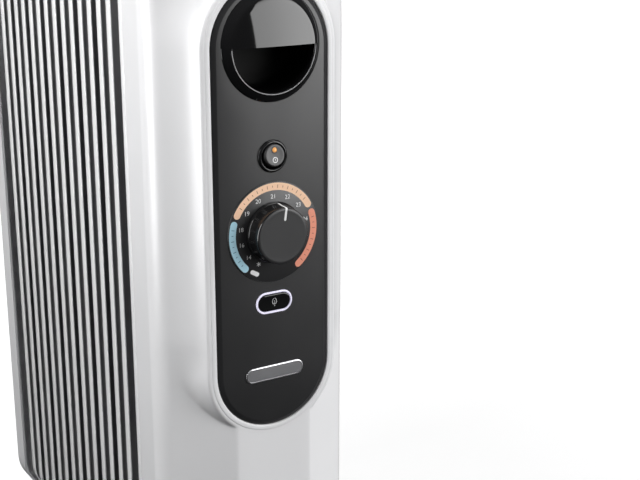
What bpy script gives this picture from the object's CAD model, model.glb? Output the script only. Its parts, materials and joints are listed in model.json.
"""Looks of the oil filled radiator heater: detailed meshes, materials, lights and camera.

Shapes are given in (x, depth, z) millimetres, where depth is the distance behind the console's face plane.
"""

import json
import math

import bmesh
import bpy
import numpy as np
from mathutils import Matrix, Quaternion, Vector


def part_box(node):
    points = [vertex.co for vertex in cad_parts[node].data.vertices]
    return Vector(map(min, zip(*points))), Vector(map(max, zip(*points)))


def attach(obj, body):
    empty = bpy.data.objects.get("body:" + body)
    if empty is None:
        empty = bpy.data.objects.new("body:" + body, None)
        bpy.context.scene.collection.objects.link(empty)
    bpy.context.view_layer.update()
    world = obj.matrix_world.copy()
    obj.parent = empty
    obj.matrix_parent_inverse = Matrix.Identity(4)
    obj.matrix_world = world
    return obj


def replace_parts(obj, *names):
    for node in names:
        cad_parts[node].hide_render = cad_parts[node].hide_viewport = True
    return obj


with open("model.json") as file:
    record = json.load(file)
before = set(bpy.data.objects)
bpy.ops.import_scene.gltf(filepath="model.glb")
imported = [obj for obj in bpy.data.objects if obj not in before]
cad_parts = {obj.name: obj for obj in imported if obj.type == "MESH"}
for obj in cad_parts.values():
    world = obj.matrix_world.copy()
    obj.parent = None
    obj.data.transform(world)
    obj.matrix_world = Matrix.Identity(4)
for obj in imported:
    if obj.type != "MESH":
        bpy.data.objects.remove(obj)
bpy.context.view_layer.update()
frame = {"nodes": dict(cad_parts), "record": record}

MM = 0.001
CONSOLE_PROUD = 1.5
FACE_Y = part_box("console_plate")[0].y + CONSOLE_PROUD * MM


def depth_of(y):
    """Depth in millimetres of a frame y."""
    return (y - FACE_Y) / MM


def middle(node):
    """Centre of a CAD node as (x, depth, z) millimetres."""
    low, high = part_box(node)
    centre = (low + high) / 2
    return centre.x / MM, depth_of(centre.y), centre.z / MM


def front_of(node):
    """Depth of a CAD node's front."""
    return depth_of(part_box(node)[0].y)


# Depth of the console plate's front, on which the raised parts sit.
SEAT = -CONSOLE_PROUD
CONSOLE_R = 48.0
CONSOLE_LOW_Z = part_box("console_plate")[0].z / MM + CONSOLE_R
CONSOLE_TOP_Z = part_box("console_plate")[1].z / MM - CONSOLE_R
HANDLE_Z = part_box("handle_hood")[0].z / MM
SWITCH_Z = middle("switch_housing")[2]
DIAL_Z = middle("scale_disc")[2]
BUTTON_Z = middle("button_light_ring")[2]
BADGE_Z = middle("badge_plate")[2]
COVER_LOW_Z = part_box("front_cover")[0].z / MM
COVER_TOP_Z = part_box("front_cover")[1].z / MM
COVER_DEPTH = depth_of(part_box("front_cover")[1].y)
REAR_DEPTH = depth_of(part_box("rear_cover")[1].y)
REAR_FRONT = depth_of(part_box("rear_cover")[0].y)
FRAME_BACK = depth_of(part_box("cover_back_frame")[1].y)
HALF_WIDTH = 80.0
HUB_LOW_Z = middle("heating_flange")[2]
HUB_TOP_Z = middle("oil_filler_plug")[2]


# ---- materials -------------------------------------------------------------
def material(name, color, roughness, grain=0.0, grain_size=0.6, tint=0.06, tint_size=60.0, blotch=0.05,
             **sockets):
    """Procedural plastic, paint or metal: slow tint and gloss changes, and a fine surface grain.

    Sizes are in millimetres, grain is the height of the grain in millimetres.
    """
    made = bpy.data.materials.new(name)
    made.use_nodes = True
    nodes, links = made.node_tree.nodes, made.node_tree.links
    shader = nodes["Principled BSDF"]
    place = nodes.new("ShaderNodeTexCoord")
    slow = nodes.new("ShaderNodeTexNoise")
    slow.inputs["Scale"].default_value = 1.0 / (tint_size * MM)
    slow.inputs["Detail"].default_value = 3.0
    links.new(place.outputs["Object"], slow.inputs["Vector"])
    ramp = nodes.new("ShaderNodeValToRGB")
    ramp.color_ramp.elements[0].position = 0.3
    ramp.color_ramp.elements[1].position = 0.7
    ramp.color_ramp.elements[0].color = [c * (1 - tint) for c in color] + [1]
    ramp.color_ramp.elements[1].color = [min(1.0, c * (1 + tint)) for c in color] + [1]
    links.new(slow.outputs["Fac"], ramp.inputs["Fac"])
    links.new(ramp.outputs["Color"], shader.inputs["Base Color"])
    gloss = nodes.new("ShaderNodeMapRange")
    gloss.inputs["From Min"].default_value = 0.3
    gloss.inputs["From Max"].default_value = 0.7
    gloss.inputs["To Min"].default_value = roughness - blotch * roughness
    gloss.inputs["To Max"].default_value = roughness + blotch * roughness
    links.new(slow.outputs["Fac"], gloss.inputs["Value"])
    links.new(gloss.outputs["Result"], shader.inputs["Roughness"])
    if grain:
        fine = nodes.new("ShaderNodeTexNoise")
        fine.inputs["Scale"].default_value = 1.0 / (grain_size * MM)
        fine.inputs["Detail"].default_value = 2.0
        links.new(place.outputs["Object"], fine.inputs["Vector"])
        bump = nodes.new("ShaderNodeBump")
        bump.inputs["Strength"].default_value = 1.0
        bump.inputs["Distance"].default_value = grain * MM
        links.new(fine.outputs["Fac"], bump.inputs["Height"])
        links.new(bump.outputs["Normal"], shader.inputs["Normal"])
    for socket, value in sockets.items():
        shader.inputs[socket.replace("_", " ")].default_value = value
    return made


def brushed(name, color, roughness, along=(1, 1, 1)):
    """Metal with fine brush lines along the axis whose scale is small."""
    made = material(name, color, roughness, Metallic=1.0)
    nodes, links = made.node_tree.nodes, made.node_tree.links
    place = nodes.new("ShaderNodeTexCoord")
    stretch = nodes.new("ShaderNodeMapping")
    stretch.inputs["Scale"].default_value = along
    lines = nodes.new("ShaderNodeTexNoise")
    lines.inputs["Scale"].default_value = 400.0
    lines.inputs["Detail"].default_value = 4.0
    bump = nodes.new("ShaderNodeBump")
    bump.inputs["Strength"].default_value = 0.5
    bump.inputs["Distance"].default_value = 0.02 * MM
    links.new(place.outputs["Object"], stretch.inputs["Vector"])
    links.new(stretch.outputs["Vector"], lines.inputs["Vector"])
    links.new(lines.outputs["Fac"], bump.inputs["Height"])
    links.new(bump.outputs["Normal"], nodes["Principled BSDF"].inputs["Normal"])
    return made


LOOKS = {
    "white_plastic": material("white_plastic", (0.80, 0.80, 0.81), 0.24, grain=0.004, grain_size=1.2,
                              tint=0.012, Specular_IOR_Level=0.30),
    "white_enamel": material("white_enamel", (0.82, 0.82, 0.82), 0.22, grain=0.010, grain_size=2.5,
                             tint=0.015),
    "grey_enamel": material("grey_enamel", (0.10, 0.10, 0.105), 0.38, grain=0.010, grain_size=1.0),
    "console_black": material("console_black", (0.021, 0.021, 0.022), 0.34, grain=0.003, grain_size=0.35,
                              tint=0.10),
    "gloss_black": material("gloss_black", (0.006, 0.006, 0.0065), 0.045, tint=0.10, blotch=0.2),
    "dark_plastic": material("dark_plastic", (0.030, 0.030, 0.033), 0.42, grain=0.010, grain_size=0.7,
                             tint=0.12),
    "black_rubber": material("black_rubber", (0.020, 0.020, 0.020), 0.70, grain=0.02, grain_size=0.8,
                             tint=0.15),
    "badge_metal": brushed("badge_metal", (0.62, 0.62, 0.64), 0.30, along=(0.05, 1, 1.6)),
    "amber_lens": material("amber_lens", (0.80, 0.36, 0.10), 0.20, tint=0.15, tint_size=1.5,
                           Emission_Color=(1.0, 0.50, 0.18, 1), Emission_Strength=0.24),
    "white_mark": material("white_mark", (0.80, 0.80, 0.80), 0.45, grain=0.002, tint=0.03, tint_size=8.0),
    "lit_ring": material("lit_ring", (0.80, 0.78, 0.92), 0.25, tint=0.04, tint_size=6.0,
                         Emission_Color=(0.80, 0.76, 1.0, 1), Emission_Strength=0.30),
    "board_green": material("board_green", (0.03, 0.16, 0.07), 0.40, grain=0.01),
    "zinc_steel": material("zinc_steel", (0.60, 0.60, 0.62), 0.34, grain=0.008, grain_size=0.8, Metallic=1.0),
    "brass_parts": material("brass_parts", (0.75, 0.56, 0.26), 0.28, grain=0.005, Metallic=1.0),
    "wheel_tread": material("wheel_tread", (0.055, 0.055, 0.060), 0.50, grain=0.015, grain_size=0.9),
}
GAP_DARK = material("fin_gap_paint", (0.27, 0.27, 0.275), 0.55, grain=0.01, grain_size=2.0)
POCKET_DARK = material("pocket_dark", (0.004, 0.004, 0.0042), 0.60, tint=0.10, Specular_IOR_Level=0.12)
KNOB_SIDE_BLACK = material("knob_side_black", (0.008, 0.008, 0.0085), 0.16, tint=0.10)
BEZEL_BLACK = material("bezel_black", (0.009, 0.009, 0.0095), 0.12, tint=0.10)
PRINT_ORANGE = material("print_orange", (0.92, 0.60, 0.40), 0.42, grain=0.002, tint=0.03, tint_size=20.0)
PRINT_CORAL = material("print_coral", (0.84, 0.31, 0.20), 0.42, grain=0.002, tint=0.03, tint_size=20.0)
PRINT_BLUE = material("print_blue", (0.42, 0.70, 0.82), 0.42, grain=0.002, tint=0.03, tint_size=20.0)
PRINT_GREY = material("print_grey", (0.38, 0.38, 0.39), 0.45, grain=0.002, tint=0.04, tint_size=8.0)


# ---- mesh helpers ------------------------------------------------------------
class Shape:
    """Points and faces of one piece, in (x, depth, z) millimetres."""

    def __init__(self):
        self.points, self.faces, self.finish = [], [], []

    def grid(self, rows, wrap_rows=False, wrap_cols=False, finish=0):
        """Quads over a grid of points."""
        rows = np.asarray(rows, float)
        n, m = rows.shape[:2]
        base = len(self.points)
        self.points.extend(rows.reshape(-1, 3).tolist())
        for i in range(n if wrap_rows else n - 1):
            below = (i + 1) % n * m
            for j in range(m if wrap_cols else m - 1):
                beside = (j + 1) % m
                above, under = base + i * m, base + below
                self.faces.append((above + j, above + beside, under + beside, under + j))
                self.finish.append(finish)
        return self

    def fill(self, loop, finish=0):
        """One flat face over a convex loop."""
        base = len(self.points)
        self.points.extend(np.asarray(loop, float).tolist())
        self.faces.append(tuple(range(base, len(self.points))))
        self.finish.append(finish)
        return self

    def add(self, points, faces, finish=0):
        """Faces made elsewhere."""
        base = len(self.points)
        self.points.extend(np.asarray(points, float).tolist())
        self.faces.extend(tuple(base + k for k in face) for face in faces)
        self.finish.extend([finish] * len(faces))
        return self

    def loft(self, loops):
        """Skin through closed loops, with flat end faces."""
        self.grid(loops, wrap_cols=True)
        self.fill(loops[0])
        self.fill(loops[-1])
        return self

    def plate(self, outlines, front, back, finish=0, walls=None):
        """Flat plate between two depths; outlines are (x, z) loops, the first outside and the rest holes."""
        scratch = bmesh.new()
        for outline in outlines:
            verts = [scratch.verts.new((x, front, z)) for x, z in outline]
            for a, b in zip(verts, verts[1:] + verts[:1]):
                scratch.edges.new((a, b))
        bmesh.ops.triangle_fill(scratch, use_beauty=True, edges=scratch.edges[:])
        scratch.verts.index_update()
        flat = [tuple(v.co) for v in scratch.verts]
        faces = [tuple(v.index for v in f.verts) for f in scratch.faces]
        scratch.free()
        self.add(flat, faces, finish)
        self.add([(x, back, z) for x, _, z in flat], faces, finish)
        for k, outline in enumerate(outlines):
            if walls is None or k in walls:
                self.grid([at_depth(outline, d) for d in (front, back)], wrap_cols=True, finish=finish)
        return self

    def turned(self, profile, z, steps=96, start=0.0, sweep=360.0, closed=False, finish=0):
        """(radius, depth) profile turned about an axis along Y; angles run clockwise from up."""
        whole = abs(sweep - 360.0) < 1e-6
        angles = np.radians(start + np.linspace(0, sweep, steps, endpoint=not whole))
        rows = [[(r * math.sin(a), d, z + r * math.cos(a)) for a in angles] for r, d in profile]
        self.grid(rows, wrap_rows=closed, wrap_cols=whole, finish=finish)
        if closed and not whole:
            for k in (0, -1):
                self.fill([row[k] for row in rows], finish)
        return self

    def made(self, name, slot=None, stands_for=(), looks=(), body="root", crease=40.0):
        """The finished Blender object, riding on its body, in its slot's look unless others are given."""
        points = np.asarray(self.points)
        world = np.column_stack([points[:, 0] * MM, FACE_Y + points[:, 1] * MM, points[:, 2] * MM])
        mesh = bpy.data.meshes.new(name)
        mesh.from_pydata(world.tolist(), [], self.faces)
        mesh.polygons.foreach_set("material_index", self.finish)
        scratch = bmesh.new()
        scratch.from_mesh(mesh)
        bmesh.ops.remove_doubles(scratch, verts=scratch.verts[:], dist=2e-6)
        bmesh.ops.dissolve_degenerate(scratch, edges=scratch.edges[:], dist=1e-7)
        bmesh.ops.recalc_face_normals(scratch, faces=scratch.faces[:])
        scratch.to_mesh(mesh)
        scratch.free()
        mesh.polygons.foreach_set("use_smooth", [True] * len(mesh.polygons))
        mesh.set_sharp_from_angle(angle=math.radians(crease))
        for look in looks or [LOOKS[slot]]:
            mesh.materials.append(look)
        piece = bpy.data.objects.new(name, mesh)
        bpy.context.scene.collection.objects.link(piece)
        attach(piece, body)
        if stands_for:
            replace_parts(piece, *stands_for)
        return piece


def circle(radius, z, steps):
    """(x, z) points of a circle on the console's centre line."""
    angles = np.linspace(0, 2 * math.pi, steps, endpoint=False)
    return [(radius * math.sin(a), z + radius * math.cos(a)) for a in angles]


def pill(radius):
    """(x, z) points of the console's upright outline at a radius."""
    upper = np.linspace(-math.pi / 2, math.pi / 2, 48)
    heights = np.linspace(CONSOLE_LOW_Z, CONSOLE_TOP_Z, 26)[1:-1]
    rows = [(radius * math.sin(a), CONSOLE_TOP_Z + radius * math.cos(a)) for a in upper]
    rows += [(radius, z) for z in heights[::-1]]
    rows += [(radius * math.sin(a), CONSOLE_LOW_Z + radius * math.cos(a)) for a in upper + math.pi]
    rows += [(-radius, z) for z in heights]
    return rows


def lying_pill(length, height, z, steps=24):
    """(x, z) points of a slot outline lying across the console."""
    radius, reach = height / 2, (length - height) / 2
    turn = np.linspace(0, math.pi, steps)
    rows = [(reach + radius * math.sin(a), z + radius * math.cos(a)) for a in turn]
    rows += [(-reach - radius * math.sin(a), z - radius * math.cos(a)) for a in turn]
    return rows


def round_rect(half_x, low_z, high_z, radius):
    """(x, z) points of a rectangle with rounded corners."""
    rows = []
    for cx, cz, start in ((half_x - radius, high_z - radius, 0), (half_x - radius, low_z + radius, 90),
                          (-half_x + radius, low_z + radius, 180), (-half_x + radius, high_z - radius, 270)):
        for a in np.radians(start + np.linspace(0, 90, 14)):
            rows.append((cx + radius * math.sin(a), cz + radius * math.cos(a)))
    return rows


def at_depth(outline, depth):
    """An (x, z) outline as a loop at one depth."""
    return [(x, depth, z) for x, z in outline]


# ---- cover shells ------------------------------------------------------------
def rounded_meet(a, b, radius):
    """Intersection of two distance fields with a rounded edge."""
    outside = np.hypot(np.maximum(a + radius, 0), np.maximum(b + radius, 0)) - radius
    return np.minimum(-radius, np.maximum(a, b)) + np.where(outside > -radius, outside + radius, 0)


def smooth_join(a, b, width):
    """Union of two distance fields with a filleted seam."""
    h = np.clip(0.5 + 0.5 * (b - a) / width, 0, 1)
    return b + (a - b) * h - width * h * (1 - h)


COVER_CORNER = 34.0
EDGE_ROUND = 10.5
SHELL_WALL = 2.2
PROW_HALF, PROW_DEPTH, BAND_HALF = 84.3, 30.4, 32.5
SIDE_TAPER = 0.0986
# The boss round the console: its flare from front to back, and how far its sloping side overstates distance.
BOSS_DEPTH = 28.0
BOSS_R, BOSS_SLOPE, BOSS_CURVE = 55.0, 0.42, 0.006
BOSS_SCALE = 0.88
# Heights between which the crease at the boss's foot opens into a soft fillet, and the fillet's widths there.
FILLET_HEIGHTS, FILLET_WIDTHS = [306.0, 350.0], [0.6, 11.0]
# Heights of a cover's lowest and highest level rows; past them, the rows fan out round its corners.
LEVEL_LOW_Z, LEVEL_TOP_Z = 136.0, 580.0
SLANT_ANGLE = math.atan2(PROW_DEPTH, PROW_HALF - BAND_HALF)
SLANT_SIN, SLANT_COS = math.sin(SLANT_ANGLE), math.cos(SLANT_ANGLE)


def ends(z):
    """Distance past the covers' top and bottom."""
    return np.abs(z - (COVER_LOW_Z + COVER_TOP_Z) / 2) - (COVER_TOP_Z - COVER_LOW_Z) / 2


def sides(x, z):
    """Distance from the upright side walls, top and bottom, with large corners."""
    return rounded_meet(np.abs(x) - HALF_WIDTH, ends(z), COVER_CORNER)


def front_field(x, depth, z):
    """Distance from the front cover: flat band, slanted faces, rounded corners and the console boss."""
    slant = SLANT_SIN * (np.abs(x) - BAND_HALF) - SLANT_COS * depth
    taper = SIDE_TAPER * (depth - PROW_DEPTH) - (PROW_HALF - HALF_WIDTH)
    side = rounded_meet(np.abs(x) - HALF_WIDTH + taper, ends(z), COVER_CORNER)
    body = rounded_meet(rounded_meet(-depth, slant, 0.9), side, EDGE_ROUND)
    along = np.clip(z, CONSOLE_LOW_Z, CONSOLE_TOP_Z)
    flare = BOSS_R + BOSS_SLOPE * depth + BOSS_CURVE * depth ** 2
    boss = BOSS_SCALE * (np.hypot(x, z - along) - flare)
    boss = rounded_meet(rounded_meet(boss, -depth, 1.6), depth - BOSS_DEPTH, 2.0)
    soft = np.interp(z, FILLET_HEIGHTS, FILLET_WIDTHS)
    return smooth_join(body, boss, np.clip((np.abs(x) - BAND_HALF - 0.5) * 0.55, 0.3, soft))


def rear_field(x, depth, z):
    """Distance from the plain rear cover, measured the other way round."""
    return rounded_meet(-depth, sides(x, z), 11.0)


RAY_REACH = 420.0
RAY_HALVINGS = 34


def cast(field, origin, direction, inset):
    """Points where rays from inside leave the field's surface, moved in by inset."""
    near = np.zeros(direction.shape[:2])
    far = np.full(direction.shape[:2], RAY_REACH)
    for _ in range(RAY_HALVINGS):
        half = (near + far) / 2
        p = origin + direction * half[..., None]
        inside = field(p[..., 0], p[..., 1], p[..., 2]) < -inset
        near = np.where(inside, half, near)
        far = np.where(inside, far, half)
    return origin + direction * near[..., None]


def spread(stops):
    """Positions with a local spacing: stops are (start, spacing) with a last (end, 0)."""
    out = []
    for (start, step), (end, _) in zip(stops, stops[1:]):
        count = max(1, round(abs(end - start) / step))
        out.extend(np.linspace(start, end, count, endpoint=False))
    return np.array(out + [stops[-1][0]])


def shell_rows(field, base_depth, columns, rows_z, low_cap, high_cap, inset):
    """Grid of surface points: columns are plan angles, rows go up the cover."""
    low_z, high_z = rows_z[0], rows_z[-1]
    tilts = np.concatenate([np.radians(-90 + low_cap), np.zeros(len(rows_z)), np.radians(high_cap)])
    heights = np.concatenate([np.full(len(low_cap), low_z), rows_z, np.full(len(high_cap), high_z)])
    tilt, plan = np.meshgrid(tilts, columns, indexing="ij")
    direction = np.stack([np.sin(plan) * np.cos(tilt), -np.cos(plan) * np.cos(tilt), np.sin(tilt)], axis=-1)
    origin = np.zeros_like(direction)
    origin[..., 1] = base_depth
    origin[..., 2] = heights[:, None]
    return cast(field, origin, direction, inset)


def plan_columns(base_depth):
    """Plan angles of the front cover's columns, close together at its edges."""
    right = np.concatenate([
        np.arctan(spread([(0.0, 2.0), (31.5, 0.35), (33.8, 1.3), (50.2, 0.5), (56.0, 0)]) / base_depth),
        np.radians(spread([(37.5, 0.5), (72.0, 0.9), (80.0, 2.0), (90.0, 0)])),
    ])
    return np.concatenate([-right[:0:-1], right])


def front_cover():
    """Moulded front shell with the opening for the console."""
    columns = plan_columns(COVER_DEPTH)
    rows_z = spread([(LEVEL_LOW_Z, 7.0), (243, 1.0), (355, 5.0), (540, 1.3), (LEVEL_TOP_Z, 0)])
    low_cap = spread([(0, 3.0), (89.0, 0)])
    high_cap = spread([(1.0, 0.8), (60, 1.5), (90, 0)])
    outer, inner = (shell_rows(front_field, COVER_DEPTH, columns, rows_z, low_cap, high_cap, inset)
                    for inset in (0.0, SHELL_WALL))
    n, m = outer.shape[:2]
    away = np.hypot(outer[..., 0], outer[..., 2] - np.clip(outer[..., 2], CONSOLE_LOW_Z, CONSOLE_TOP_Z))
    kept = np.zeros((n - 1, m - 1), bool)
    for i, j in ((0, 0), (0, 1), (1, 0), (1, 1)):
        kept |= away[i:n - 1 + i, j:m - 1 + j] > CONSOLE_R + 2.3
    shape = Shape()
    shape.points = outer.reshape(-1, 3).tolist() + inner.reshape(-1, 3).tolist()
    back = n * m
    for i in range(n - 1):
        for j in range(m - 1):
            if not kept[i, j]:
                continue
            a, b, c, d = i * m + j, i * m + j + 1, (i + 1) * m + j + 1, (i + 1) * m + j
            shape.faces.append((a, b, c, d))
            shape.faces.append((back + d, back + c, back + b, back + a))
            for p, q, ni, nj in ((a, b, i - 1, j), (b, c, i, j + 1), (c, d, i + 1, j), (d, a, i, j - 1)):
                out_of_grid = not (0 <= ni < n - 1 and 0 <= nj < m - 1)
                if (out_of_grid and nj in (-1, m - 1)) or (not out_of_grid and not kept[ni, nj]):
                    shape.faces.append((p, q, back + q, back + p))
    shape.finish = [0] * len(shape.faces)
    shape.made("cover_shell", "white_plastic", ["front_cover"])


def boss_lip():
    """Raised land round the console, with a fine shut line inside it."""
    section = [(48.15, 2.6), (48.15, 0.15), (48.45, -0.25), (49.0, -0.42), (51.2, -0.42), (51.9, -0.25),
               (52.3, 0.1), (52.4, 0.5), (52.4, 2.6)]
    loops = [at_depth(pill(r), d) for r, d in section]
    Shape().grid(loops, wrap_rows=True, wrap_cols=True).made("console_lip", "white_plastic")


def cover_outline(inward):
    """Outline of the covers' upright walls, moved in."""
    return round_rect(HALF_WIDTH - inward, COVER_LOW_Z + inward, COVER_TOP_Z - inward, COVER_CORNER - inward)


def back_frame():
    """White rim behind the cover, set in a little so that a seam shows, and its wall with two hub holes."""
    loops = []
    for inward, depth in ((2.2, COVER_DEPTH - 1.5), (1.0, COVER_DEPTH - 1.5), (1.0, COVER_DEPTH + 0.5),
                          (0.35, COVER_DEPTH + 0.7), (0.0, COVER_DEPTH + 1.2), (0.0, FRAME_BACK - 0.8),
                          (0.35, FRAME_BACK - 0.2), (0.9, FRAME_BACK), (2.2, FRAME_BACK)):
        loops.append(at_depth(cover_outline(inward), depth))
    shape = Shape().grid(loops, wrap_rows=True, wrap_cols=True)
    holes = [circle(34.0, HUB_LOW_Z, steps=64), circle(28.0, HUB_TOP_Z, steps=64)]
    shape.plate([cover_outline(1.6)] + holes, FRAME_BACK - 2.0, FRAME_BACK - 0.2)
    return shape.made("back_rim", "white_plastic", crease=50.0)


def rear_cover():
    """Plain rear shell with rounded edges."""
    reach = REAR_DEPTH - REAR_FRONT
    right = np.radians(spread([(0, 4.0), (64, 1.0), (90, 0)]))
    columns = np.concatenate([-right[:0:-1], right])
    rows_z = spread([(LEVEL_LOW_Z, 12.0), (LEVEL_TOP_Z, 0)])
    low_cap = spread([(0, 2.5), (89.0, 0)])
    high_cap = spread([(1.0, 2.5), (90, 0)])
    outer, inner = (shell_rows(rear_field, reach, columns, rows_z, low_cap, high_cap, inset)
                    for inset in (0.0, SHELL_WALL))
    shape = Shape()
    for rows in (outer, inner):
        rows[..., 1] = REAR_DEPTH - rows[..., 1]
        shape.grid(rows)
    for j in (0, -1):
        shape.grid([outer[:, j], inner[:, j]])
    shape.made("rear_shell", "white_plastic", ["rear_cover"])


# ---- console -------------------------------------------------------------------
PLATE_R, PLATE_FACE_R, PLATE_BACK = 47.75, 43.8, 2.2


def console_plate():
    """Satin black pill-shaped plate with a bevelled edge and its cut-outs."""
    edge = [(PLATE_R, PLATE_BACK), (PLATE_R, 0.75), (47.6, 0.3), (47.2, 0.0), (44.6, -1.2), (44.2, -1.42),
            (PLATE_FACE_R, SEAT)]
    shape = Shape().grid([at_depth(pill(r), d) for r, d in edge], wrap_cols=True)
    outlines = [pill(PLATE_FACE_R), circle(34.6, HANDLE_Z, steps=72), circle(10.8, SWITCH_Z, steps=48),
                circle(6.0, DIAL_Z, steps=32), lying_pill(30.2, 15.8, BUTTON_Z)]
    shape.plate(outlines, SEAT, PLATE_BACK, walls=(1, 2, 3, 4))
    back_edge = [at_depth(pill(r), PLATE_BACK) for r in (PLATE_R, PLATE_FACE_R)]
    shape.grid(back_edge, wrap_cols=True)
    shape.made("console_face", "console_black", ["console_plate"], crease=14.0)


POCKET_R = 33.2


def handle_cup():
    """Gloss black finger pocket with the bevelled rim round its lower half."""
    cup = [(35.6, SEAT + 0.1), (35.6, 24.5), (34.2, 28.5), (31.0, 30.0), (0, 30.0)]
    inside = [(POCKET_R, SEAT + 0.1), (POCKET_R, 22.0), (32.3, 25.2), (30.0, 27.2), (26.5, 27.8), (0, 27.8)]
    shape = Shape().turned(cup[:1] + inside, HANDLE_Z, steps=128, finish=1)
    shape.turned(cup, HANDLE_Z, steps=128, finish=1)
    rim = [(POCKET_R, SEAT + 2.0), (POCKET_R, -5.6), (33.35, -6.15), (33.75, -6.5), (34.2, -6.6), (34.7, -6.42),
           (39.9, -2.1), (40.25, -1.75), (40.3, SEAT + 0.2), (40.3, SEAT + 2.0)]
    shape.turned(rim, HANDLE_Z, steps=96, start=90.0, sweep=180.0, closed=True)
    shape.made("handle_pocket", "gloss_black", ["handle_cup"], [LOOKS["gloss_black"], POCKET_DARK])


WIRE_R, WIRE_RING_R, WIRE_DEPTH = 0.33, 34.15, -6.45


def rim_line():
    """Fine bright trim wire on the lower rim's inner edge."""
    ring = [(WIRE_RING_R + WIRE_R * math.cos(a), WIRE_DEPTH + WIRE_R * math.sin(a))
            for a in (2 * math.pi * k / 10 for k in range(10))]
    wire = Shape().turned(ring, HANDLE_Z, steps=96, start=92.0, sweep=176.0, closed=True)
    wire.made("handle_trim_wire", "gloss_black", looks=[PRINT_GREY], crease=60.0)


def crown(x):
    """Depth of the hood's domed front at a distance from its centre."""
    return -6.95 - 1.95 * (1 - (x / POCKET_R) ** 2)


def handle_hood():
    """Crowned gloss black half cover whose straight lower lip is pulled by the fingers."""
    front = [(40.3, SEAT + 0.2), (40.25, -1.75), (39.9, -2.1), (35.4, -6.0), (34.4, -6.6),
             (POCKET_R, -6.95)]
    front += [(r, crown(r)) for r in np.linspace(31, 0, 16)]
    back = [(r, d + 2.3) for r, d in front[:4:-1]]
    back += [(POCKET_R, -2.0), (POCKET_R, SEAT + 0.2)]
    shape = Shape().turned(front + back, HANDLE_Z, steps=128, start=-90.0, sweep=180.0, closed=True)
    lip = []
    for x in np.linspace(-32.6, 32.6, 49):
        section = [(crown(x) + 0.2, 0), (6.0, 0), (7.2, 0.4), (7.6, 1.4), (7.2, 2.6), (6.0, 3.2),
                   (crown(x) + 2.0, 3.4)]
        lip.append([(x, depth, HANDLE_Z + 0.02 + rise) for depth, rise in section])
    shape.loft(lip)
    shape.made("handle_dome", "gloss_black", ["handle_hood"], crease=30.0)


# ---- rocker switch -----------------------------------------------------------
def switch_housing():
    """Raised round bezel with its deep seat for the rocker."""
    profile = [(12.2, SEAT + 0.1), (12.2, -2.0), (12.0, -2.5), (11.2, -3.25), (10.8, -3.45), (10.3, -3.5),
               (9.9, -3.35), (9.65, -3.0), (9.6, -2.5), (9.6, 12.0), (9.2, 15.0), (0, 15.6)]
    body = [(12.2, SEAT + 0.1), (10.4, SEAT + 0.1), (10.4, 22.0), (0, 22.0)]
    shape = Shape().turned(profile, SWITCH_Z, steps=80).turned(body, SWITCH_Z, steps=80)
    shape.made("switch_bezel", "gloss_black", ["switch_housing"], [BEZEL_BLACK])


ROCKER_TILT = math.radians(8.0)
ROCKER_PIVOT = 3.0


def rocked(points):
    """Points of the rocker turned to its rest place."""
    out = []
    for x, d, z in points:
        e, h = d - ROCKER_PIVOT, z - SWITCH_Z
        out.append((x, ROCKER_PIVOT + e * math.cos(ROCKER_TILT) + h * math.sin(ROCKER_TILT),
                    SWITCH_Z - e * math.sin(ROCKER_TILT) + h * math.cos(ROCKER_TILT)))
    return out


def rocker():
    """Dished round rocker cap with its lamp and power symbol."""
    lamp_z, mark_z = SWITCH_Z + 3.9, SWITCH_Z - 3.4
    cap = Shape().turned([(0, -5.32), (3, -5.34), (6.2, -5.47), (7.3, -5.6), (7.8, -5.5), (8.15, -5.2),
                          (8.3, -4.7), (8.3, 3.2), (7.8, 3.8), (0, 3.8)], SWITCH_Z, steps=80)
    lamp = Shape().turned([(0, -6.15), (0.8, -6.08), (1.4, -5.85), (1.8, -5.5), (1.95, -5.2), (1.95, -4.0),
                           (0, -4.0)], lamp_z, steps=40)
    seat = Shape().turned([(1.95, -5.3), (2.05, -5.55), (2.45, -5.6), (2.65, -5.42), (2.65, -5.2),
                           (1.95, -5.1)], lamp_z, steps=40, closed=True)
    mark = Shape().turned([(1.55, -5.3), (1.55, -5.5), (2.15, -5.5), (2.15, -5.3)], mark_z, steps=48,
                          closed=True)
    mark.plate([[(z, mark_z + x) for x, z in lying_pill(1.9, 0.5, 0.0, steps=8)]], -5.5, -5.3)
    for shape in (cap, lamp, seat, mark):
        shape.points = rocked(shape.points)
    cap.made("rocker_face", "console_black", ["rocker_cap"], body="rocker")
    lamp.made("rocker_lamp", "amber_lens", ["rocker_lens"], body="rocker", crease=60.0)
    seat.made("rocker_lamp_seat", "console_black", looks=[LOOKS["dark_plastic"]], body="rocker", crease=50.0)
    mark.made("power_symbol", "white_mark", body="rocker", crease=30.0)


# ---- thermostat dial -----------------------------------------------------------
DISC_FRONT = front_of("scale_disc")
PRINT = 0.07


ARC_INNER, ARC_OUTER = 31.7, 37.2
ARC_MIDDLE, ARC_HALF = (ARC_INNER + ARC_OUTER) / 2, (ARC_OUTER - ARC_INNER) / 2


def around(radius, angle):
    """(x, z) of a place on the dial, at a clock angle in degrees."""
    a = math.radians(angle)
    return radius * math.sin(a), DIAL_Z + radius * math.cos(a)


def arc_end(centre, angles):
    """(x, z) points of a band's round end, whose centre is at a clock angle."""
    x, z = around(ARC_MIDDLE, centre)
    return [(x + ARC_HALF * math.sin(a), z + ARC_HALF * math.cos(a)) for a in np.radians(angles)]


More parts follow.
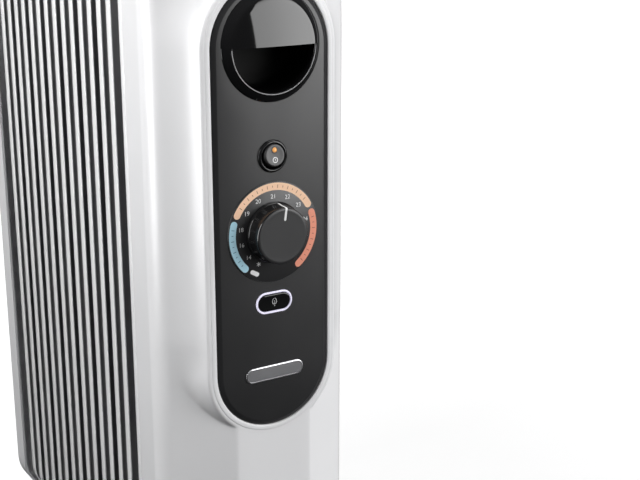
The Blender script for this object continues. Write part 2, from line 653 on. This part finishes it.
def arc_band(shape, start, end, finish):
    """Printed band with round ends, from one clock angle to another."""
    sign = 1 if end > start else -1
    inset = sign * math.degrees(ARC_HALF / ARC_MIDDLE)
    first, last = start + inset, end - inset
    sweep, cap = np.linspace(first, last, 64), sign * np.linspace(0, 180, 14)[1:-1]
    outline = [around(ARC_OUTER, a) for a in sweep]
    outline += arc_end(last, last + cap)
    outline += [around(ARC_INNER, a) for a in np.linspace(last, first, 64)]
    outline += arc_end(first, first + 180 + cap)
    shape.plate([outline], DISC_FRONT - PRINT, DISC_FRONT + 0.05, finish=finish)


def printed_text(shape, text, x, z, depth, finish):
    """Raised print of a short number."""
    curve = bpy.data.curves.new("text", "FONT")
    curve.body = text
    curve.size = NUMBER_SIZE
    curve.align_x = "CENTER"
    curve.align_y = "CENTER"
    curve.resolution_u = 4
    curve.extrude = 0.06
    holder = bpy.data.objects.new("text", curve)
    mesh = bpy.data.meshes.new_from_object(holder)
    points = [(x + v.co.x, depth - v.co.z, z + v.co.y) for v in mesh.vertices]
    shape.add(points, [tuple(p.vertices) for p in mesh.polygons], finish)
    bpy.data.objects.remove(holder)
    bpy.data.curves.remove(curve)
    bpy.data.meshes.remove(mesh)


def bar_mark(shape, x, z, turn, length, width, front, back, finish):
    """Short printed line with round ends; turn is the clock angle of its length."""
    c, s = math.cos(turn), math.sin(turn)
    outline = [(x + a * s + b * c, z + a * c - b * s) for a, b in lying_pill(length, width, 0.0, steps=7)]
    shape.plate([outline], front, back, finish=finish)


# Clock angle and distance from the dial's centre of each printed number.
SCALE = {14: (-127.4, 26.9), 16: (-103, 27.7), 18: (-79, 27.9), 19: (-53, 27.9), 20: (-27, 27.9),
         21: (0, 27.0), 22: (25.6, 27.9), 23: (50, 27.9), 24: (77, 27.9), 26: (103, 27.9), 28: (129, 27.9)}
NUMBER_SIZE = 4.6
OFF_ANGLE, FROST_ANGLE = -150.5, -150.0


def dial():
    """Scale disc and its printed arcs, graduation, numbers and frost mark."""
    edge = [(5.0, DISC_FRONT), (37.6, DISC_FRONT), (38.1, DISC_FRONT + 0.2), (38.3, DISC_FRONT + 0.5),
            (38.3, SEAT), (5.0, SEAT)]
    rim = [(37.75, DISC_FRONT + 0.05), (37.75, DISC_FRONT - 0.05), (38.0, DISC_FRONT - 0.02),
           (38.0, DISC_FRONT + 0.15)]
    disc = Shape().turned(edge, DIAL_Z, steps=160, closed=True)
    disc.turned(rim, DIAL_Z, steps=160, closed=True, finish=1)
    disc.made("dial_disc", "console_black", ["scale_disc"], [LOOKS["console_black"], LOOKS["dark_plastic"]],
              crease=25.0)
    ink = Shape()
    for finish, (start, end) in enumerate(((-66, 64), (67, 147), (-69, -140))):
        arc_band(ink, start, end, finish)
    front, back = DISC_FRONT - PRINT, DISC_FRONT + 0.05
    bar_mark(ink, *around(33.4, OFF_ANGLE), math.radians(OFF_ANGLE + 90), 8.0, 3.3, front, back, 3)
    for value, (angle, radius) in SCALE.items():
        printed_text(ink, str(value), *around(radius, angle), DISC_FRONT - 0.01, 3)
    for k in range(3):
        bar_mark(ink, *around(26.2, FROST_ANGLE), math.radians(60 * k), 3.6, 0.42, front, back, 3)
    ink.made("dial_print", "white_mark", looks=[PRINT_ORANGE, PRINT_CORAL, PRINT_BLUE, LOOKS["white_mark"]],
             crease=30.0)
    ticks = Shape()
    for start, end, count, finish in ((-52, 50, 15, 0), (78, 136, 9, 1), (-80, -129, 8, 2)):
        for k, angle in enumerate(np.linspace(start, end, count)):
            length = 2.6 if k % 2 == 0 else 1.6
            bar_mark(ticks, *around(ARC_MIDDLE, angle), math.radians(angle), length, 0.42,
                     DISC_FRONT - 2 * PRINT, DISC_FRONT - 0.02, finish)
    shades = [material("tick_brown", (0.30, 0.13, 0.07), 0.5, grain=0.002),
              material("tick_red", (0.30, 0.06, 0.04), 0.5, grain=0.002),
              material("tick_navy", (0.05, 0.16, 0.26), 0.5, grain=0.002)]
    ticks.made("dial_graduation", "white_mark", looks=shades, crease=30.0)


KNOB_SIDE = [(23.2, -2.75), (23.2, -3.35), (22.9, -3.75), (22.2, -4.2), (21.9, -4.9), (21.5, -10.0),
             (21.2, -15.1), (21.08, -15.7), (20.75, -16.12)]
KNOB_FACE = [(20.75, -16.12), (20.2, -16.35), (18.6, -16.28)]
KNOB_DISH = 0.00036
KNOB_ANGLE = 8.0
POINTER = [(22.05, -4.55), (21.95, -4.9), (21.58, -10.0), (21.28, -15.1), (21.16, -15.75), (20.82, -16.22),
           (20.2, -16.48), (18.5, -16.4), (14.0, -16.36), (12.6, -16.35)]
POINTER_HALF = 0.85


def pointed(points):
    """Places of (sideways, radius, depth) points once turned to the pointer's angle."""
    c, s = math.cos(math.radians(KNOB_ANGLE)), math.sin(math.radians(KNOB_ANGLE))
    return [(w * c + r * s, d, DIAL_Z + r * c - w * s) for w, r, d in points]


def under_pointer(w, r, d):
    """Place below a pointer's surface point, sunk into the knob's side or face."""
    return (w, r - 0.3, d + 0.05) if d > -15.7 else (w, min(r, 20.5), d + 0.3)


def knob():
    """Tall thermostat knob with a satin face, gloss side and white pointer."""
    dish_r, dish_depth = KNOB_FACE[-1]
    face = [(r, dish_depth + KNOB_DISH * (dish_r ** 2 - r ** 2)) for r in (15, 12, 9, 6, 3, 0)]
    shape = Shape().turned([(0, -2.6), (22.4, -2.6)] + KNOB_SIDE, DIAL_Z, steps=144, finish=1)
    shape.turned(KNOB_FACE + face, DIAL_Z, steps=144)
    shape.made("knob_body", "console_black", ["thermostat_knob"], [LOOKS["console_black"], KNOB_SIDE_BLACK],
               body="knob", crease=35.0)
    rows = [[(w, r, d) for w in (-POINTER_HALF, -0.78, 0.78, POINTER_HALF)] for r, d in POINTER]
    for r, half in ((12.0, 0.72), (11.7, 0.42), (11.6, 0.1)):
        rows.append([(w, r, -16.34) for w in (-half, -half * 0.9, half * 0.9, half)])
    ring = [pointed(row) + pointed([under_pointer(*point) for point in row[::-1]]) for row in rows]
    Shape().loft(ring).made("pointer_line", "white_mark", ["knob_pointer"], body="knob")


# ---- push button and badge ---------------------------------------------------
BUTTON_LENGTH, BUTTON_HEIGHT = 31.0, 16.6
BADGE_LENGTH, BADGE_HEIGHT = 50.0, 12.0
LEAF_MIDDLE = 0.85


def stepped(section, length, height, z):
    """Loops of a lying pill whose outline moves in by each step of the section."""
    return [at_depth(lying_pill(length - 2 * inward, height - 2 * inward, z), depth)
            for inward, depth in section]


def button():
    """Lit ring, black key and leaf mark of the pill-shaped push button."""
    ring_front = front_of("button_light_ring")
    key_front = front_of("push_button")
    section = [(0.0, SEAT + 0.1), (0.0, ring_front + 0.35), (0.15, ring_front + 0.1), (0.45, ring_front),
               (1.05, ring_front), (1.35, ring_front + 0.12), (1.5, ring_front + 0.4), (1.5, SEAT + 2.5),
               (0.0, SEAT + 2.5)]
    loops = stepped(section, BUTTON_LENGTH, BUTTON_HEIGHT, BUTTON_Z)
    Shape().grid(loops, wrap_rows=True, wrap_cols=True).made(
        "button_glow_ring", "lit_ring", ["button_light_ring"])
    key = [(1.8, SEAT + 2.0), (1.8, key_front + 0.7), (1.95, key_front + 0.3), (2.3, key_front + 0.05),
           (2.8, key_front), (4.0, key_front + 0.08), (5.6, key_front + 0.2), (7.2, key_front + 0.27)]
    Shape().loft(stepped(key, BUTTON_LENGTH, BUTTON_HEIGHT, BUTTON_Z)).made(
        "button_key", "gloss_black", ["push_button"], body="button")
    front, back = key_front + 0.16, key_front + 0.34
    half = [(0.0, 3.9), (1.2, 2.9), (2.0, 1.5), (2.1, 0.1), (1.5, -1.2), (0.0, -2.0)]
    outer = half + [(-x, z) for x, z in half[-2:0:-1]]
    inner = [(x * 0.72, LEAF_MIDDLE + (z - LEAF_MIDDLE) * 0.74) for x, z in outer]
    leaf = Shape().plate([[(x, BUTTON_Z + z) for x, z in outline] for outline in (outer, inner)], front, back)
    bar_mark(leaf, 0.0, BUTTON_Z - 1.2, 0.0, 5.4, 0.45, front, back, 0)
    leaf.made("leaf_mark", "white_mark", looks=[PRINT_GREY], body="button", crease=30.0)


def badge():
    """Blank chamfered metal badge."""
    front = front_of("badge_plate")
    section = [(0.0, SEAT + 0.05), (0.0, front + 0.45), (0.18, front + 0.2), (0.75, front),
               (1.15, front + 0.02), (1.4, front + 0.2)]
    Shape().loft(stepped(section, BADGE_LENGTH, BADGE_HEIGHT, BADGE_Z)).made(
        "badge_blank", "badge_metal", ["badge_plate"], crease=25.0)


# ---- finned tank ---------------------------------------------------------------
FIN_HALF, FIN_LOW, FIN_HIGH, FIN_CORNER = 77.0, 82.0, 630.0, 32.0
CORE_HALF, CORE_INSET = 5.2, 19.0
CHANNEL_HALF, CHANNEL_LOW, CHANNEL_HIGH = 6.5, 176.0, 536.0
CHANNEL_PLACES = (-39.0, -13.0, 13.0, 39.0)
# Distance in from the fin's outline, and distance from its middle plane.
RIM = [(1.5, 8.8), (1.5, 12.3), (1.35, 13.1), (0.95, 13.45), (0.55, 13.5), (0.2, 13.3), (0.0, 12.8),
       (0.0, 6.2), (0.2, 5.7), (0.55, 5.5), (0.95, 5.55), (1.35, 5.9), (1.5, 6.7), (1.5, 7.5)]
WEB = [(3.2, 7.1), (16.0, 3.6), (CORE_INSET, 3.0), (CORE_INSET, CORE_HALF), (16.8, 5.4), (3.6, 8.4)]
# Height above the core, and half width.
RIDGE = [(0.0, CHANNEL_HALF), (0.7, 6.2), (1.5, 4.8), (1.9, 3.0), (2.0, 0.0)]


def fin_outline(inward):
    """Outline of a tank element, moved in."""
    return round_rect(FIN_HALF - inward, FIN_LOW + inward, FIN_HIGH - inward, FIN_CORNER - inward)


def channel_outline(x, half):
    """(x, z) outline of an upright oil channel with round ends."""
    turn = np.linspace(-math.pi / 2, math.pi / 2, 9)
    reach = max(half, 0.01)
    rows = [(x + half * math.sin(a), CHANNEL_HIGH + reach * math.cos(a)) for a in turn]
    rows += [(x + half * math.sin(a), CHANNEL_LOW + reach * math.cos(a)) for a in turn + math.pi]
    return rows


def fin(number):
    """One tank element: two rolled rims, their webs, and the core with pressed oil channels."""
    centre = middle(f"fin_{number}")[1]
    shape = Shape()
    for side in (-1, 1):
        loops = [at_depth(fin_outline(inward), centre + side * reach) for inward, reach in RIM + WEB]
        shape.grid(loops[:len(RIM)], wrap_cols=True, finish=0)
        shape.grid(loops[len(RIM) - 1:] + loops[:1], wrap_cols=True, finish=1)
        shape.fill(at_depth(fin_outline(CORE_INSET), centre + side * CORE_HALF), finish=1)
        for x in CHANNEL_PLACES:
            rows = [at_depth(channel_outline(x, half), centre + side * (CORE_HALF - 0.05 + proud))
                    for proud, half in RIDGE]
            shape.grid(rows, wrap_cols=True, finish=1)
    edge = [at_depth(fin_outline(CORE_INSET), centre + reach) for reach in (-3.0, 3.0)]
    shape.grid(edge, wrap_cols=True, finish=1)
    shape.made(f"tank_fin_{number}", "white_enamel", [f"fin_{number}"], [LOOKS["white_enamel"], GAP_DARK])


# ---- castor wheels -------------------------------------------------------------
WHEEL_GAP_HALF = 4.5
# Radius, distance from the inner face, and height of the ribs there.
TYRE = [(0, 0, 0), (19.6, 0, 0), (20.6, 0.25, 0), (21.5, 1.0, 0), (22.0, 2.2, 0), (22.0, 5.2, 0),
        (21.6, 5.6, 0), (21.6, 6.4, 0), (22.0, 6.8, 0), (22.0, 9.8, 0), (21.6, 10.9, 0), (20.6, 11.75, 0),
        (19.6, 12.0, 0)]
HUB = [(19.6, 12.0, 0), (19.0, 11.9, 0), (18.5, 11.1, 0), (17.8, 10.7, 0), (16.5, 10.5, 1.0),
       (9.5, 10.5, 1.0), (8.6, 10.8, 0.4), (8.0, 11.6, 0), (7.2, 11.95, 0), (3.0, 11.8, 0), (0, 11.75, 0)]
RIB_COUNT = 6


def castor_wheels(number):
    """Twin wheels with grooved treads and ribbed hub faces."""
    x0, depth0, z0 = middle(f"castor_wheels_{number}")
    turn = np.linspace(0, 2 * math.pi, 72, endpoint=False)
    ribs = np.clip(np.cos(RIB_COUNT * turn), 0, 1) ** 2
    shape = Shape()
    for side in (-1, 1):
        for finish, profile in enumerate((TYRE, HUB)):
            rows = [[(x0 + side * (WHEEL_GAP_HALF + out + rib * h), depth0 + r * math.sin(a),
                      z0 + r * math.cos(a)) for a, h in zip(turn, ribs)] for r, out, rib in profile]
            shape.grid(rows, wrap_cols=True, finish=finish)
    shape.made(f"castor_tyres_{number}", "wheel_tread", [f"castor_wheels_{number}"],
               [LOOKS["wheel_tread"], LOOKS["dark_plastic"]], body=f"wheels_{number}")


# ---- build -------------------------------------------------------------------------
FIN_COUNT = 7
CASTOR_COUNT = 4

front_cover()
boss_lip()
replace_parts(back_frame(), "cover_back_frame")
rear_cover()
console_plate()
handle_cup()
rim_line()
handle_hood()
switch_housing()
rocker()
dial()
knob()
button()
badge()
for index in range(1, FIN_COUNT + 1):
    fin(index)
for index in range(1, CASTOR_COUNT + 1):
    castor_wheels(index)

slots = {part["node"]: part["material_slot"] for part in frame["record"]["subparts"]}
for node, cad in frame["nodes"].items():
    cad.data.materials.clear()
    cad.data.materials.append(LOOKS[slots[node]])

# ---- camera, light and floor -------------------------------------------------------
# Camera's place from the middle of the console, in metres, and its angles in degrees.
CAMERA_LEFT, CAMERA_AHEAD, CAMERA_ABOVE = 0.4338, 0.7512, 0.2243
CAMERA_LENS = 68.54
CAMERA_DOWN, CAMERA_RIGHT = 15.81, 32.34

console_centre_z = 0.5 * (CONSOLE_LOW_Z + CONSOLE_TOP_Z) * MM
camera_data = bpy.data.cameras.new("camera")
camera = bpy.data.objects.new("camera", camera_data)
bpy.context.scene.collection.objects.link(camera)
camera_data.lens = CAMERA_LENS
camera_data.sensor_width = 36.0
camera.location = (-CAMERA_LEFT, FACE_Y - CAMERA_AHEAD, console_centre_z + CAMERA_ABOVE)
camera.rotation_euler = (math.radians(90 - CAMERA_DOWN), 0, math.radians(-CAMERA_RIGHT))
bpy.context.scene.camera = camera


def softbox(name, target, azimuth, elevation, distance, width, height, radiance, roll=0.0):
    """Area light round the target; azimuth is measured to the right from straight in front."""
    data = bpy.data.lights.new(name, "AREA")
    data.shape = "RECTANGLE"
    data.size, data.size_y = width, height
    data.energy = radiance * math.pi * width * height
    light = bpy.data.objects.new(name, data)
    bpy.context.scene.collection.objects.link(light)
    a, e = math.radians(azimuth), math.radians(elevation)
    away = Vector((math.sin(a) * math.cos(e), -math.cos(a) * math.cos(e), math.sin(e)))
    light.location = Vector(target) + away * distance
    aim = away.to_track_quat("Z", "Y") @ Quaternion((0, 0, 1), math.radians(roll))
    light.rotation_euler = aim.to_euler()
    light.visible_camera = False
    return light


def faded(light, left, middle, right, top):
    """Radiance that changes across a softbox, from left over the middle to right, and fades at the top."""
    light.data.use_nodes = True
    nodes, links = light.data.node_tree.nodes, light.data.node_tree.links
    place = nodes.new("ShaderNodeNewGeometry")
    split = nodes.new("ShaderNodeSeparateXYZ")
    links.new(place.outputs["Parametric"], split.inputs["Vector"])
    across, up = nodes.new("ShaderNodeValToRGB"), nodes.new("ShaderNodeValToRGB")
    across_stops = ((0.0, left), (0.6, middle), (1.0, right))
    up_stops = ((0.0, 1.0), (0.45, 1.0), (1.0, top))
    for ramp, stops in ((across, across_stops), (up, up_stops)):
        elements = ramp.color_ramp.elements
        elements.new(stops[1][0])
        for element, (position, value) in zip(elements, stops):
            element.position = position
            element.color = (value, value, value, 1)
        ramp.color_ramp.interpolation = "EASE"
    links.new(split.outputs["X"], across.inputs["Fac"])
    links.new(split.outputs["Y"], up.inputs["Fac"])
    product = nodes.new("ShaderNodeMath")
    product.operation = "MULTIPLY"
    links.new(across.outputs["Color"], product.inputs[0])
    links.new(up.outputs["Color"], product.inputs[1])
    links.new(product.outputs["Value"], nodes["Emission"].inputs["Strength"])


CONSOLE = (0.0, FACE_Y, 0.46)
key = softbox("softbox_right", CONSOLE, 38, 13.5, 2.4, 1.55, 2.0, 6.8, roll=6)
faded(key, 0.72, 1.0, 1.0, 0.12)
softbox("softbox_far_right", CONSOLE, 64, 12, 2.4, 1.2, 1.6, 3.3).visible_glossy = False
softbox("softbox_left", CONSOLE, -94, 38, 1.08, 0.7, 0.7, 10.2).visible_glossy = False
softbox("softbox_sheen", CONSOLE, -97, 9, 1.2, 0.62, 1.2, 10.5).visible_diffuse = False
softbox("softbox_top", (0, 0, 0.55), 100, 72, 1.9, 1.5, 1.3, 3.2)
softbox("softbox_back", (0, 0, 0.4), 165, 24, 3.0, 1.8, 1.6, 2.6)

world = bpy.data.worlds.new("studio")
bpy.context.scene.world = world
world.use_nodes = True
sky_nodes, sky_links = world.node_tree.nodes, world.node_tree.links
way = sky_nodes.new("ShaderNodeTexCoord")
split = sky_nodes.new("ShaderNodeSeparateXYZ")
rise = sky_nodes.new("ShaderNodeMapRange")
rise.inputs["From Min"].default_value = -0.5
rise.inputs["From Max"].default_value = 0.9
rise.inputs["To Min"].default_value = 0.03
rise.inputs["To Max"].default_value = 0.17
sky_links.new(way.outputs["Generated"], split.inputs["Vector"])
sky_links.new(split.outputs["Z"], rise.inputs["Value"])
sky_links.new(rise.outputs["Result"], sky_nodes["Background"].inputs["Strength"])
sky_nodes["Background"].inputs["Color"].default_value = (0.97, 0.98, 1.0, 1)


STAGE_CREASE = 32.0
STAGE_R, STAGE_MIDDLE_R = 12000.0, 900.0
# Distances from the origin, in metres, between which a backdrop's glow changes.
GLOW_NEAR, GLOW_FAR = 0.5, 2.6


def backdrop(name, rows, shade, near_glow, far_glow):
    """Pale stage surface that only the camera and the shadows see, so it adds no light of its own."""
    shape = Shape().grid(rows, wrap_cols=True)
    look = material(name + "_paint", (shade, shade, shade), 0.7, tint=0.008, tint_size=900.0,
                    Emission_Color=(1.0, 1.0, 1.0, 1))
    nodes, links = look.node_tree.nodes, look.node_tree.links
    place = nodes.new("ShaderNodeTexCoord")
    reach = nodes.new("ShaderNodeVectorMath")
    reach.operation = "LENGTH"
    outward = nodes.new("ShaderNodeMapRange")
    outward.inputs["From Min"].default_value = GLOW_NEAR
    outward.inputs["From Max"].default_value = GLOW_FAR
    outward.inputs["To Min"].default_value = near_glow
    outward.inputs["To Max"].default_value = far_glow
    links.new(place.outputs["Object"], reach.inputs[0])
    links.new(reach.outputs["Value"], outward.inputs["Value"])
    links.new(outward.outputs["Result"], nodes["Principled BSDF"].inputs["Emission Strength"])
    look.cycles.emission_sampling = "NONE"
    piece = shape.made(name, looks=[look], crease=STAGE_CREASE)
    piece.visible_diffuse = False
    piece.visible_glossy = False
    return piece


ROUND = np.linspace(0, 2 * math.pi, 97)[:-1]
MIDDLE_DEPTH = -FACE_Y / MM
disc_rows = [[(r * math.sin(a), MIDDLE_DEPTH - r * math.cos(a), 0.0) for a in ROUND]
             for r in (0.0, STAGE_MIDDLE_R, STAGE_R)]
backdrop("studio_floor", disc_rows, 0.35, 0.64, 1.0)
dome_rows = [[(STAGE_R * math.cos(t) * math.sin(a), MIDDLE_DEPTH - STAGE_R * math.cos(t) * math.cos(a),
               STAGE_R * math.sin(t)) for a in ROUND] for t in np.radians(np.linspace(0, 88, 24))]
backdrop("studio_dome", dome_rows, 0.0, 1.0, 1.0).visible_shadow = False

bpy.context.scene.view_settings.view_transform = "Standard"
